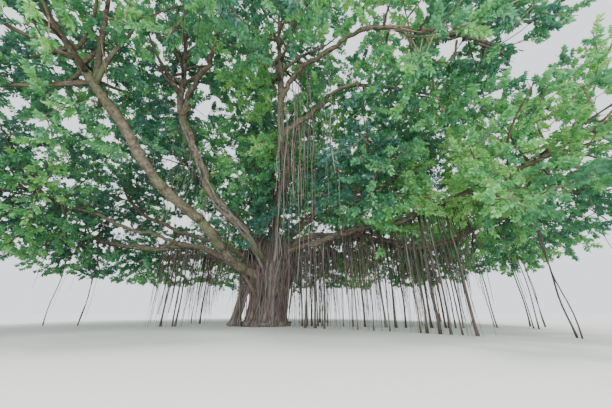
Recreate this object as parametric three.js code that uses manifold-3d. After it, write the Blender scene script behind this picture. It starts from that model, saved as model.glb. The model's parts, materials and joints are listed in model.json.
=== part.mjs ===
// A banyan in millimetres, with +Z up and the origin in the middle of its flat cut at ground level.
// Its trunk is a bundle of fused roots. Boughs spread from it, roots hang from them to the ground,
// and each bough ends in a mass of leaf sprays.
import * as THREE from "three";
import { mergeVertices } from "three/addons/utils/BufferGeometryUtils.js";
import Module from "manifold-3d";

const wasm = await Module();
wasm.setup();
const { Manifold, Mesh } = wasm;

// Driving dimensions
const SEAT_GAP = 0.4; // clear width between two parts that touch
const TRUNK = {
  top: 4700,
  waist: 820,
  flare: 230,
  flareHeight: 260,
  shoulder: 470,
  shoulderHeight: 3500,
  shoulderSpread: 1500,
  depthShare: 0.86, // front to back against side to side
  capShare: 0.6, // radius of the top against the radius below it
  lean: 260, // how far the top stands to the right of the foot
  flutes: 10,
  fluteDepth: 0.11,
  fluteTwist: 0.25, // radians from foot to top
};
const CROWN = {
  reach: 13700, // from the crown's middle to the furthest tips
  middleX: 1000, // the crown spreads further to the right
  middleY: -200,
  top: 13700,
  bottom: 2350,
  widest: 5400, // height of the widest level
  roundness: 2.4,
};
const SPRAY = { length: 2300, width: 1500, thick: 60, smallest: 0.5, spacing: 1065 };
const TWIG = {
  branches: 7,
  radius: 26,
  stemShare: 0.82, // of the way from the bough's tip to the far side of the space
};
const CLEARANCE = 40; // least room between a leaf mass and anything that isn't its own

const BARK = { color: 0x76604c, roughness: 0.9, metalness: 0 };
const ROOT = { color: 0x84654f, roughness: 0.92, metalness: 0 };
const LEAF = { color: 0x4f8a2c, roughness: 0.6, metalness: 0 };

// Leaf masses: heading in degrees from +X, distance and height of the middle, and the half sizes
// outwards, across and upwards.
const MASSES = {
  front_left: [-121, 10400, 8400, 3000, 3900, 3000],
  left_front_low: [-151, 11000, 5300, 2900, 3700, 3100],
  left_low: [179, 11200, 4900, 2700, 3700, 2700],
  left_high: [174, 10000, 8000, 3100, 4400, 2900],
  back_left_low: [150, 10900, 4700, 2800, 3800, 2700],
  back_low_left: [119, 10800, 5700, 2900, 3900, 3300],
  back_low_right: [88, 10800, 5700, 2900, 3900, 3400],
  right_back_low: [57, 10800, 5500, 2900, 3900, 3300],
  right_low_back: [24, 11700, 5200, 2900, 4000, 3400],
  right_low: [-9, 12100, 5300, 2800, 4200, 3600],
  right_front_low: [-38, 12100, 5300, 3000, 5000, 4000],
  front_right_high: [-54, 10900, 8700, 3300, 4600, 3400],
  front_right_inner: [-46, 7400, 5300, 2700, 2900, 2100],
  front_high: [-90, 11200, 8400, 2500, 3600, 2400],
  upper_front_left: [-114, 7500, 10400, 3500, 3900, 2900],
  upper_front: [-82, 7500, 10400, 3700, 3900, 2900],
  upper_front_right: [-40, 8500, 9800, 3800, 4400, 2900],
  upper_right: [5, 7700, 10100, 3900, 4200, 2900],
  upper_back_right: [58, 6900, 10200, 3700, 4000, 3000],
  upper_back_left: [114, 6900, 10200, 3700, 4600, 3000],
  upper_left: [176, 6400, 10200, 3900, 5200, 3000],
  top: [-90, 500, 11500, 4600, 4700, 2600],
  inner_front: [-75, 3300, 7000, 2300, 3000, 2100],
};

// Boughs: the mass each one feeds, what it grows from and where, its heading and pitch as it leaves,
// its heading and pitch as it arrives, how strongly it holds each direction, and its two radii.
// One that grows from the trunk gives a height, and one that forks from a bough gives a share of it.
const BOUGHS = {
  left_great: ["front_left", "trunk", 2300, -130, 14, -138, 49, 0.26, 230, 155],
  front_rising: ["upper_front_left", "trunk", 3150, -100, 10, -92, 75, 0.29, 165, 125],
  centre: ["upper_front", "trunk", 4200, -66, 58, -104, 80, 0.5, 160, 112],
  right_long: ["right_low", "trunk", 3600, -2, 42, 2, 30, 0.46, 160, 100],
  left_low: ["left_low", "trunk", 2450, -172, 35, 164, 18, 0.48, 150, 85],
  left_middle: ["left_high", "trunk", 2900, 164, 42, 156, 42, 0.36, 150, 85],
  left_hanging: ["back_left_low", "trunk", 2400, 158, 26, 156, 6, 0.42, 140, 80],
  right_front: ["right_front_low", "trunk", 3500, -36, 12, -36, 20, 0.3, 140, 85],
  back_left: ["back_low_left", "trunk", 2900, 122, 24, 118, 6, 0.36, 160, 90],
  back_right: ["back_low_right", "trunk", 3300, 84, 26, 90, 6, 0.36, 160, 90],
  right_back: ["right_back_low", "trunk", 2800, 52, 24, 58, 6, 0.36, 160, 90],
  right_rear: ["right_low_back", "trunk", 3900, 26, 22, 27, 2, 0.36, 150, 85],
  upper_right: ["upper_right", "trunk", 4150, 0, 50, 8, 48, 0.36, 150, 90],
  upper_back_right: ["upper_back_right", "trunk", 4250, 56, 48, 60, 50, 0.36, 150, 90],
  upper_back_left: ["upper_back_left", "trunk", 4150, 110, 50, 108, 50, 0.36, 150, 90],
  upper_left: ["upper_left", "trunk", 4200, 170, 52, 170, 48, 0.36, 150, 90],
  leader: ["top", "trunk", 4450, 70, 78, -60, 84, 0.3, 160, 90],
  inner_front: ["inner_front", "trunk", 4350, -85, 40, -70, 34, 0.34, 105, 70],
  rising_fork: ["front_high", "front_rising", 0.9, -60, 40, -78, -18, 0.36, 105, 70],
  left_low_fork: ["left_front_low", "left_low", 0.36, -150, 6, -146, 14, 0.36, 95, 65],
  centre_cross: ["front_right_high", "centre", 0.92, -69, 62, 2, -9, 0.21, 95, 70],
  centre_side: ["upper_front_right", "centre", 0.77, 14, 37, 18, 5, 0.23, 110, 75],
  right_front_fork: ["front_right_inner", "right_front", 0.42, -66, 14, -50, 12, 0.34, 90, 65],
};

// Hanging roots: the bough they hang from, the shares of it they hang between, how many strands,
// how many of those reach the ground, and between what heights the others end.
const HANGING = {
  right_near: ["right_long", 0.13, 0.28, 6, 5, 500, 1700],
  right_second: ["right_long", 0.33, 0.48, 6, 4, 500, 1700],
  right_third: ["right_long", 0.52, 0.67, 6, 5, 500, 1700],
  right_pillar: ["right_long", 0.72, 0.88, 6, 5, 500, 1700],
  right_front_near: ["right_front", 0.16, 0.34, 6, 4, 500, 1700],
  right_front_far: ["right_front", 0.42, 0.62, 6, 5, 500, 1700],
  right_front_edge: ["right_front", 0.7, 0.9, 6, 5, 500, 1700],
  left_low_bundle: ["left_low", 0.4, 0.52, 5, 3, 500, 1500],
  left_hanging_far: ["left_hanging", 0.5, 0.66, 5, 2, 500, 1700],
  back_left: ["back_left", 0.42, 0.6, 5, 4, 500, 1700],
  back_right: ["back_right", 0.42, 0.6, 5, 4, 500, 1700],
  right_back: ["right_back", 0.5, 0.68, 5, 4, 500, 1700],
  centre_long: ["centre_side", 0.16, 0.42, 5, 0, 2300, 4300],
};

const ROOT_SUNK = 10; // how far a spray at a twig's end starts inside it
const GOLDEN_ANGLE = THREE.MathUtils.degToRad(137.5);
const UP = new THREE.Vector3(0, 0, 1);

// Small helpers

// A repeatable number from 0 to 1 for a whole number and a salt.
function chance(number, salt) {
  const wave = Math.sin(number * 127.1 + salt * 311.7) * 43758.5453;
  return wave - Math.floor(wave);
}

function between(low, high, number, salt) {
  return low + (high - low) * chance(number, salt);
}

function polar(heading, distance, height) {
  const turn = THREE.MathUtils.degToRad(heading);
  return new THREE.Vector3(distance * Math.cos(turn), distance * Math.sin(turn), height);
}

function direction(heading, pitch) {
  const climb = THREE.MathUtils.degToRad(pitch);
  return polar(heading, Math.cos(climb), Math.sin(climb));
}

function geometryOf(positions, faces) {
  const geometry = new THREE.BufferGeometry();
  geometry.setAttribute("position", new THREE.Float32BufferAttribute(positions, 3));
  geometry.setIndex(faces);
  return geometry;
}

function solidOf(geometry) {
  const merged = mergeVertices(geometry, 1e-3);
  return new Manifold(
    new Mesh({
      numProp: 3,
      vertProperties: merged.attributes.position.array,
      triVerts: new Uint32Array(merged.index.array),
    }),
  );
}

function largestPiece(solid) {
  return solid.decompose().reduce((best, piece) => (piece.volume() > best.volume() ? piece : best));
}

// Rings of points joined into one closed skin with flat ends.
function skin(rings) {
  const sides = rings[0].length;
  const positions = rings.flat().flatMap((point) => point.toArray());
  const faces = [];
  for (let ring = 0; ring + 1 < rings.length; ring++) {
    for (let side = 0; side < sides; side++) {
      const a = ring * sides + side;
      const b = ring * sides + ((side + 1) % sides);
      faces.push(a, b, b + sides, a, b + sides, a + sides);
    }
  }
  const last = (rings.length - 1) * sides;
  for (let side = 1; side + 1 < sides; side++) {
    faces.push(0, side + 1, side);
    faces.push(last, last + side, last + side + 1);
  }
  return geometryOf(positions, faces);
}

// A tapering tube round a curve.
function limbSkin(curve, radiusAt, sides, steps, grow = 0) {
  const frames = curve.computeFrenetFrames(steps, false);
  const rings = [];
  for (let step = 0; step <= steps; step++) {
    const share = step / steps;
    const middle = curve.getPointAt(share);
    const radius = radiusAt(share) + grow;
    const ring = [];
    for (let side = 0; side < sides; side++) {
      const turn = (side / sides) * Math.PI * 2;
      ring.push(
        middle
          .clone()
          .addScaledVector(frames.normals[step], radius * Math.cos(turn))
          .addScaledVector(frames.binormals[step], radius * Math.sin(turn)),
      );
    }
    rings.push(ring);
  }
  return skin(rings);
}

// A straight three-sided twig from one point to another, with one edge turned to the given side.
function twigSkin(start, end, startRadius, endRadius, edgeSide) {
  const along = end.clone().sub(start).normalize();
  const across = edgeSide.clone().addScaledVector(along, -edgeSide.dot(along)).normalize();
  const other = new THREE.Vector3().crossVectors(along, across);
  const ring = (middle, radius) =>
    [0, 1, 2].map((side) => {
      const turn = (side * Math.PI * 2) / 3;
      return middle
        .clone()
        .addScaledVector(across, radius * Math.cos(turn))
        .addScaledVector(other, radius * Math.sin(turn));
    });
  return skin([ring(start, startRadius), ring(end, endRadius)]);
}

// A strand that hangs: level rings round a leaning, swaying line.
function strandSkin(points, radii, sides) {
  const rings = points.map((point, index) => {
    const ring = [];
    for (let side = 0; side < sides; side++) {
      const turn = (side / sides) * Math.PI * 2;
      ring.push(
        new THREE.Vector3(
          point.x + radii[index] * Math.cos(turn),
          point.y + radii[index] * Math.sin(turn),
          point.z,
        ),
      );
    }
    return ring;
  });
  return skin(rings);
}

// Trunk

function trunkRadius(height) {
  const flare = TRUNK.flare * Math.exp(-height / TRUNK.flareHeight);
  const rise = (height - TRUNK.shoulderHeight) / TRUNK.shoulderSpread;
  return TRUNK.waist + flare + TRUNK.shoulder * Math.exp(-rise * rise);
}

function trunkMiddle(height) {
  return new THREE.Vector3((TRUNK.lean * height) / TRUNK.top, 0, height);
}

function trunkSkin(grow) {
  const heights = [0, 250, 900, 1800, 2700, 3500, 4200, TRUNK.top];
  const pointsPerFlute = 4;
  const count = TRUNK.flutes * pointsPerFlute;
  const rings = heights.map((height) => {
    const middle = trunkMiddle(height);
    const closing = height === TRUNK.top ? TRUNK.capShare : 1;
    const twist = (TRUNK.fluteTwist * height) / TRUNK.top;
    const ring = [];
    for (let index = 0; index < count; index++) {
      const turn = (index / count) * Math.PI * 2;
      const ridge = Math.abs(Math.sin((turn * TRUNK.flutes) / 2)) - 0.6;
      const radius = trunkRadius(height) * closing * (1 + TRUNK.fluteDepth * ridge) + grow;
      ring.push(
        new THREE.Vector3(
          middle.x + radius * Math.cos(turn + twist),
          radius * TRUNK.depthShare * Math.sin(turn + twist),
          height,
        ),
      );
    }
    return ring;
  });
  return skin(rings);
}

// Roots that cling to the trunk: each stands a little out at the ground and sinks in near the top.
const CLINGING = { count: 8, radius: 115, outAtFoot: 1.1, outAtMiddle: 1.06, outAtTop: 0.9 };
const LEG = { heading: 184, footDistance: 1560, topDistance: 900, topHeight: 2700, radius: 260 };

function clingingStrand(index, grow) {
  const heading = (index * 360) / CLINGING.count + between(-9, 9, index, 1);
  const topHeight = between(2900, 4100, index, 2);
  const radius = CLINGING.radius * between(0.8, 1.25, index, 3) + grow;
  const shares = [0, 0.15, 0.55, 1];
  const outs = [CLINGING.outAtFoot, 1.03, CLINGING.outAtMiddle, CLINGING.outAtTop];
  const points = shares.map((share, step) => {
    const height = topHeight * share;
    const turn = THREE.MathUtils.degToRad(heading + between(-5, 5, index, 10 + step));
    const reach = trunkRadius(height) * outs[step];
    const middle = trunkMiddle(height);
    return new THREE.Vector3(
      middle.x + reach * Math.cos(turn),
      reach * TRUNK.depthShare * Math.sin(turn),
      height,
    );
  });
  return strandSkin(points, [1.5, 1, 0.9, 1].map((scale) => radius * scale), 5);
}

function legStrand(grow) {
  const shares = [0, 0.1, 0.5, 1];
  const points = shares.map((share) =>
    polar(
      LEG.heading,
      THREE.MathUtils.lerp(LEG.footDistance, LEG.topDistance, share),
      LEG.topHeight * share,
    ),
  );
  return strandSkin(points, [1.45, 1.05, 0.95, 0.9].map((scale) => LEG.radius * scale + grow), 7);
}

function makeTrunk(grow = 0) {
  const parts = [solidOf(trunkSkin(grow)), solidOf(legStrand(grow))];
  for (let index = 0; index < CLINGING.count; index++) parts.push(solidOf(clingingStrand(index, grow)));
  return largestPiece(Manifold.union(parts));
}

// Boughs

// A bough's own line: a cubic curve with a slight sideways and upward wander.
class BoughLine extends THREE.Curve {
  constructor(foot, leave, arrive, tip, seed) {
    super();
    this.base = new THREE.CubicBezierCurve3(foot, foot.clone().add(leave), tip.clone().sub(arrive), tip);
    this.side = new THREE.Vector3().crossVectors(tip.clone().sub(foot), UP).normalize();
    this.wander = foot.distanceTo(tip) * 0.018;
    this.seed = seed;
  }

  getPoint(share, target = new THREE.Vector3()) {
    const ease = Math.sin(Math.PI * share);
    const sway = Math.sin(share * 11 + this.seed * 2.4) * this.wander * ease;
    const bob = Math.cos(share * 14 + this.seed * 1.7) * this.wander * 0.6 * ease;
    return target.copy(this.base.getPoint(share)).addScaledVector(this.side, sway).addScaledVector(UP, bob);
  }
}

function massMiddle(name) {
  const [heading, distance, height] = MASSES[name];
  return polar(heading, distance, height);
}

const boughs = {};
const TIP_INSET = 0.62; // share of a mass's half size from its middle back to its bough's tip
const FOOT_INSIDE = 0.5; // share of the trunk's radius where a bough's line starts

Object.entries(BOUGHS).forEach(([name, row], seed) => {
  const [mass, parent, at, leaveHeading, leavePitch, arriveHeading, arrivePitch, hold, thick, thin] = row;
  const foot =
    parent === "trunk"
      ? polar(leaveHeading, trunkRadius(at) * FOOT_INSIDE, at)
      : boughs[parent].line.getPointAt(at);
  const along = direction(arriveHeading, arrivePitch);
  const [, , , halfOut, , halfUp] = MASSES[mass];
  const inset = TIP_INSET * THREE.MathUtils.lerp(halfOut, halfUp, Math.abs(along.z));
  const tip = massMiddle(mass).addScaledVector(along, -inset);
  const pull = foot.distanceTo(tip) * hold;
  const leave = direction(leaveHeading, leavePitch).multiplyScalar(pull);
  const line = new BoughLine(foot, leave, along.clone().multiplyScalar(pull), tip, seed);
  const radiusAt = (share) => thin + (thick - thin) * Math.pow(1 - share, 1.25);
  const steps = parent === "trunk" ? 6 : 4;
  boughs[name] = { name, mass, line, radiusAt, tip, steps, along: line.getTangent(1) };
});

function boughSkin(bough, grow = 0) {
  return limbSkin(bough.line, bough.radiusAt, 6, bough.steps, grow);
}

// What hanging roots and leaves have to keep clear of: each limb, grown by the clearance.
const limbs = [];

function addLimb(owner, grown) {
  limbs.push({ owner, solid: grown, box: grown.boundingBox() });
}

function touchesLimb(solid, owner) {
  const { min, max } = solid.boundingBox();
  return limbs.some((limb) => {
    if (limb.owner === owner) return false;
    const apart = [0, 1, 2].some((axis) => max[axis] < limb.box.min[axis] || min[axis] > limb.box.max[axis]);
    return !apart && !solid.intersect(limb.solid).isEmpty();
  });
}

// Hanging roots: strands fused to a runner that clings under the bough.
const RUNNER_RADIUS = 62;
const STRAND = { thin: 28, thick: 64, sway: 130 };

function hangingRoots(name, seed) {
  const [boughName, from, to, count, grounded, lowestEnd, highestEnd] = HANGING[name];
  const bough = boughs[boughName];
  const runnerPoints = [0, 0.5, 1].map((step) => {
    const share = THREE.MathUtils.lerp(from, to, step);
    return bough.line.getPointAt(share).addScaledVector(UP, -bough.radiusAt(share) - RUNNER_RADIUS * 0.3);
  });
  const runnerLine = new THREE.CatmullRomCurve3(runnerPoints);
  const parts = [solidOf(limbSkin(runnerLine, () => RUNNER_RADIUS, 4, 2))];
  const grownParts = [];
  for (let index = 0; index < count; index++) {
    const number = seed * 20 + index;
    const top = runnerLine.getPointAt((index + 0.5) / count);
    const reachesGround = (index * 3 + seed) % count < grounded;
    const endHeight = reachesGround ? 0 : between(lowestEnd, highestEnd, number, 4);
    const radius = between(STRAND.thin, STRAND.thick, number, 5);
    const points = [1, 0.5, 0].map((drop, step) => {
      const loose = drop * STRAND.sway;
      return new THREE.Vector3(
        top.x + between(-loose, loose, number, 6 + step),
        top.y + between(-loose, loose, number, 11 + step),
        THREE.MathUtils.lerp(top.z, endHeight, drop),
      );
    });
    const radii = [reachesGround ? 1.5 : 0.6, 0.85, 1].map((scale) => radius * scale);
    const grown = solidOf(strandSkin(points, radii.map((value) => value + CLEARANCE), 3));
    if (touchesLimb(grown, boughName)) continue;
    parts.push(solidOf(strandSkin(points, radii, 3)));
    grownParts.push(grown);
  }
  grownParts.forEach((grown) => addLimb(name, grown));
  return Manifold.union(parts);
}

// Leaf masses

const massNames = Object.keys(MASSES);
const cells = massNames.map((name) => {
  const [heading, , , halfOut, halfAcross, halfUp] = MASSES[name];
  return {
    name,
    middle: massMiddle(name),
    out: direction(heading, 0),
    across: direction(heading + 90, 0),
    half: [halfOut, halfAcross, halfUp],
    size: Math.cbrt(halfOut * halfAcross * halfUp),
  };
});

function insideCrown(point, room) {
  if (point.z < CROWN.bottom + room) return false;
  const outwards = Math.hypot(point.x - CROWN.middleX, point.y - CROWN.middleY) / (CROWN.reach - room);
  const upwards = Math.max(point.z - CROWN.widest, 0) / (CROWN.top - CROWN.widest - room);
  return Math.pow(outwards, CROWN.roundness) + Math.pow(upwards, CROWN.roundness) < 1;
}

// True where a point lies inside a mass's own space: inside the crown, inside the mass's rounded
// body, and on its side of the planes between it and the other masses.
function inSpace(cell, point, room) {
  if (!insideCrown(point, room)) return false;
  const away = point.clone().sub(cell.middle);
  const [halfOut, halfAcross, halfUp] = cell.half;
  const level = Math.hypot(
    away.dot(cell.out) / (halfOut - room),
    away.dot(cell.across) / (halfAcross - room),
    away.z / (halfUp - room),
  );
  if (level > 1) return false;
  return cells.every((other) => {
    if (other === cell) return true;
    const link = other.middle.clone().sub(cell.middle);
    const span = link.length();
    const share = cell.size / (cell.size + other.size);
    return away.dot(link) / span < span * share - room;
  });
}

// How far a straight twig can run from a point before it leaves the space.
function reachInside(cell, start, along, longest, room) {
  const step = 100;
  let reach = 0;
  while (reach < longest && inSpace(cell, start.clone().addScaledVector(along, reach + step), room)) {
    reach += step;
  }
  return reach;
}

// A spray of leaves: a pointed blade of four faces, ridged along its back and across its belly.
function sprayCorners(root, along, across, scale) {
  const face = new THREE.Vector3().crossVectors(across, along).normalize();
  const length = SPRAY.length * scale;
  const wide = root.clone().addScaledVector(along, length * 0.46).addScaledVector(face, -SPRAY.thick);
  const half = (SPRAY.width * scale) / 2;
  return [
    root,
    root.clone().addScaledVector(along, length),
    wide.clone().addScaledVector(across, half),
    wide.clone().addScaledVector(across, -half),
  ];
}

function spraySkin(corners) {
  return geometryOf(corners.flatMap((corner) => corner.toArray()), [0, 2, 1, 0, 1, 3, 0, 3, 2, 1, 2, 3]);
}

// A leaf mass being grown: its stem and twigs first, then the sprays that find room on them.
class Mass {
  constructor(cell, index, bough) {
    this.cell = cell;
    this.number = index * 100;
    this.twigs = [];
    this.sprays = [];
    this.along = bough.along;
    this.side = new THREE.Vector3().crossVectors(this.along, UP).normalize();
    this.rise = new THREE.Vector3().crossVectors(this.side, this.along);
    this.room = CLEARANCE + TWIG.radius;
    this.stemStart = bough.tip.clone().addScaledVector(this.along, SEAT_GAP);
    this.stemRadius = bough.radiusAt(1) * 0.9;
    const reach = reachInside(cell, this.stemStart, this.along, 9000, this.room) * TWIG.stemShare;
    this.stemEnd = this.stemStart.clone().addScaledVector(this.along, reach);
    this.addTwig(this.stemStart, this.stemEnd, this.stemRadius, this.rise);
  }

  addTwig(start, end, startRadius, flat) {
    const endRadius = Math.min(startRadius, TWIG.radius);
    const solid = solidOf(twigSkin(start, end, startRadius, endRadius, flat));
    if (touchesLimb(solid, null)) return;
    const along = end.clone().sub(start).normalize();
    this.twigs.push({ start, end, startRadius, endRadius, flat, solid, along });
  }

  // Branches leave the stem by the golden angle and run nearly to the edge of the space.
  addBranch(order) {
    const number = this.number + order * 10;
    const share = 0.1 + (0.84 * order) / (TWIG.branches - 1);
    const stemRadius = THREE.MathUtils.lerp(this.stemRadius, TWIG.radius, share);
    const turn = order * GOLDEN_ANGLE + this.number;
    const lean = THREE.MathUtils.degToRad(between(70, 92, number, 21) - 26 * share);
    const along = this.along
      .clone()
      .multiplyScalar(Math.cos(lean))
      .addScaledVector(this.side, Math.sin(lean) * Math.cos(turn))
      .addScaledVector(this.rise, Math.sin(lean) * Math.sin(turn));
    const root = this.stemStart.clone().lerp(this.stemEnd, share).addScaledVector(along, stemRadius * 0.15);
    const reach = reachInside(this.cell, root, along, 5200, this.room);
    const end = root.clone().addScaledVector(along, Math.max(reach - SPRAY.length * 0.6, 300));
    const flat = UP.clone().addScaledVector(along, -0.3).addScaledVector(this.side, between(-0.5, 0.5, number, 22));
    this.addTwig(root, end, stemRadius * 0.4, flat);
  }

  addSpray(twig, root, along, number) {
    const across = new THREE.Vector3().crossVectors(along, twig.flat).normalize();
    for (const scale of [between(0.9, 1.1, number, 31), 0.75, SPRAY.smallest]) {
      const corners = sprayCorners(root, along, across, scale);
      if (!corners.slice(1).every((corner) => inSpace(this.cell, corner, CLEARANCE))) continue;
      const solid = solidOf(spraySkin(corners));
      if (touchesLimb(solid, null) || this.isTaken(solid, twig)) continue;
      this.sprays.push(solid);
      return;
    }
  }

  isTaken(solid, ownTwig) {
    const others = this.twigs.filter((twig) => twig !== ownTwig).map((twig) => twig.solid);
    return others.concat(this.sprays).some((other) => !solid.intersect(other).isEmpty());
  }

  // One spray at the twig's end, then one to each side in turn on the way back.
  clothe(twig, order) {
    const sideways = new THREE.Vector3().crossVectors(twig.along, twig.flat).normalize();
    const length = twig.end.distanceTo(twig.start);
    const first = this.number + order * 10;
    this.addSpray(twig, twig.end.clone().addScaledVector(twig.along, -ROOT_SUNK), twig.along, first);
    for (let step = 1; step * SPRAY.spacing * 0.5 < length; step++) {
      const hand = (step + order) % 2 === 0 ? 1 : -1;
      const along = twig.along.clone().multiplyScalar(0.5).addScaledVector(sideways, hand * 0.87).normalize();
      const back = step * SPRAY.spacing * 0.5;
      const radius = THREE.MathUtils.lerp(twig.endRadius, twig.startRadius, back / length);
      const root = twig.end.clone().addScaledVector(twig.along, -back).addScaledVector(along, radius * 0.3);
      this.addSpray(twig, root, along, first + step);
    }
  }

  grow() {
    for (let order = 0; order < TWIG.branches; order++) this.addBranch(order);
    this.twigs.forEach((twig, order) => this.clothe(twig, order));
    return largestPiece(Manifold.union(this.twigs.map((twig) => twig.solid).concat(this.sprays)));
  }
}

// Assembly

const tree = new THREE.Group();
tree.name = "banyan_tree";

function addPart(name, solid, finish) {
  const { vertProperties, triVerts } = solid.getMesh();
  const geometry = geometryOf(Array.from(vertProperties), Array.from(triVerts));
  geometry.computeVertexNormals();
  const mesh = new THREE.Mesh(geometry, new THREE.MeshStandardMaterial(finish));
  mesh.name = name;
  tree.add(mesh);
}

addPart("trunk", makeTrunk(), BARK);
addLimb("trunk", makeTrunk(CLEARANCE));

// Each bough is cut clear of the trunk and of the boughs before it.
const cutters = [makeTrunk(SEAT_GAP)];
for (const bough of Object.values(boughs)) {
  let solid = solidOf(boughSkin(bough));
  for (const cutter of cutters) solid = solid.subtract(cutter);
  addPart("bough_" + bough.name, largestPiece(solid), BARK);
  addLimb(bough.name, solidOf(boughSkin(bough, CLEARANCE)));
  cutters.push(solidOf(boughSkin(bough, SEAT_GAP)));
}

Object.keys(HANGING).forEach((name, seed) => {
  let solid = hangingRoots(name, seed);
  for (const cutter of cutters) solid = solid.subtract(cutter);
  addPart("roots_" + name, largestPiece(solid), ROOT);
});

cells.forEach((cell, index) => {
  const bough = Object.values(boughs).find((candidate) => candidate.mass === cell.name);
  addPart("leaves_" + cell.name, new Mass(cell, index, bough).grow(), LEAF);
});

export default tree;
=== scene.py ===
import json
import math

import bpy
import numpy as np
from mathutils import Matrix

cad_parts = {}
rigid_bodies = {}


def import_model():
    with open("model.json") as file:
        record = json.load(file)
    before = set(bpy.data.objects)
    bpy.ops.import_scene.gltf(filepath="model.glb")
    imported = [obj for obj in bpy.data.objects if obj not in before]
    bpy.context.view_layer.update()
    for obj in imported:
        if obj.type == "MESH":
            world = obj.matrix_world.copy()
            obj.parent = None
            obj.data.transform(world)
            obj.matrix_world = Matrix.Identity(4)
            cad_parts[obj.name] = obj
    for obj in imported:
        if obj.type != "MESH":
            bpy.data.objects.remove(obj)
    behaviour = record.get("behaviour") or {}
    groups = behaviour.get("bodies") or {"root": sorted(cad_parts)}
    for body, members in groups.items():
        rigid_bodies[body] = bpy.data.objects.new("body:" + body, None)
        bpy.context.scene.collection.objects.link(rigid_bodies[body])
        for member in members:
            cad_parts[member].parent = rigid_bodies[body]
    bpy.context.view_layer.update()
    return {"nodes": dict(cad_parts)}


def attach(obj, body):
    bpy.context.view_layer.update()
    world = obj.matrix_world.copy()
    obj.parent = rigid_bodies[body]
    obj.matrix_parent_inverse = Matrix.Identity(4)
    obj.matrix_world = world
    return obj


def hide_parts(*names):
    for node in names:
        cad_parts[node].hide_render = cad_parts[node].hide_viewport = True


# Banyan tree, in metres: the trunk's foot is at the origin and +Z is up.
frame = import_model()
rng = np.random.default_rng(71)
uniform, normal = rng.uniform, rng.normal
up = np.array([0.0, 0.0, 1.0])
goldenAngle = math.radians(137.5)
fullTurn = 6.28
print("frame loaded with", len(frame["nodes"]), "nodes")


# small helpers

# the same repeatable number from 0 to 1 for a whole number and a salt
def chance(number, salt):
    return np.mod(np.sin(number * 127.1 + salt * 311.7) * 43758.5453, 1.0)


def between(low, high, number, salt):
    return low + (high - low) * chance(number, salt)


def unit(vectors):
    return vectors / np.maximum(np.linalg.norm(vectors, axis=-1, keepdims=True), 1e-9)


def polar(heading, distance, height):
    turn = math.radians(heading)
    return np.array([distance * math.cos(turn), distance * math.sin(turn), height])


def direction(heading, pitch):
    climb = math.radians(pitch)
    return polar(heading, math.cos(climb), math.sin(climb))


def smoothstep(low, high, values):
    t = np.clip((values - low) / (high - low), 0, 1)
    return t * t * (3 - 2 * t)


# a smooth path through a few points, with so many points of its own
def pathThrough(points, count):
    points = np.asarray(points, float)
    padded = np.vstack([2 * points[0] - points[1], points, 2 * points[-1] - points[-2]])
    spans = len(points) - 1
    t = np.linspace(0, spans, count)
    index = np.minimum(t.astype(int), spans - 1)
    f = (t - index)[:, None]
    p0, p1, p2, p3 = (padded[index + k] for k in range(4))
    bend = 2 * p0 - 5 * p1 + 4 * p2 - p3
    twist = 3 * p1 - p0 - 3 * p2 + p3
    return 0.5 * (2 * p1 + (p2 - p0) * f + bend * f**2 + twist * f**3)


def circle(sides):
    return np.linspace(0, 2 * math.pi, sides, endpoint=False)


# meshes from arrays

def makeObject(name, vertices, faceGroups, materials, faceMaterials=None, smooth=True):
    mesh = bpy.data.meshes.new(name)
    loops = np.concatenate([faces.ravel() for faces in faceGroups]).astype(np.int32)
    sizes = np.concatenate([np.full(len(faces), faces.shape[1]) for faces in faceGroups])
    starts = np.concatenate([[0], np.cumsum(sizes)[:-1]]).astype(np.int32)
    mesh.vertices.add(len(vertices))
    mesh.vertices.foreach_set("co", np.asarray(vertices, np.float32).ravel())
    mesh.loops.add(len(loops))
    mesh.loops.foreach_set("vertex_index", loops)
    mesh.polygons.add(len(starts))
    mesh.polygons.foreach_set("loop_start", starts)
    for material in materials:
        mesh.materials.append(material)
    if faceMaterials is not None:
        mesh.polygons.foreach_set("material_index", np.asarray(faceMaterials, np.int32))
    mesh.polygons.foreach_set("use_smooth", np.full(len(starts), smooth))
    mesh.update(calc_edges=True)
    mesh.validate()
    obj = bpy.data.objects.new(name, mesh)
    bpy.context.scene.collection.objects.link(obj)
    return obj


# how far each ring's points stand out, as ridges that run along the limb and lumps between them
def barkRelief(count, rings, sides, depth, ridges):
    turn = circle(sides)
    step = np.arange(rings)[:, None]
    phase = uniform(0, fullTurn, (count, 6, 1, 1))
    drift = 0.35 * np.sin(step * 0.17 + phase[:, 0]) + 0.2 * np.sin(step * 0.41 + phase[:, 1])
    ridge = np.abs(np.sin(turn * ridges / 2 + drift * 2 + phase[:, 2])) - 0.6
    lump = np.sin(step * 0.55 + phase[:, 3]) * np.sin(turn * 2 + phase[:, 4] + step * 0.1)
    grain = uniform(-1, 1, (count, rings, sides))
    return 1 + depth * (ridge + 0.55 * lump + 0.4 * grain)


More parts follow.
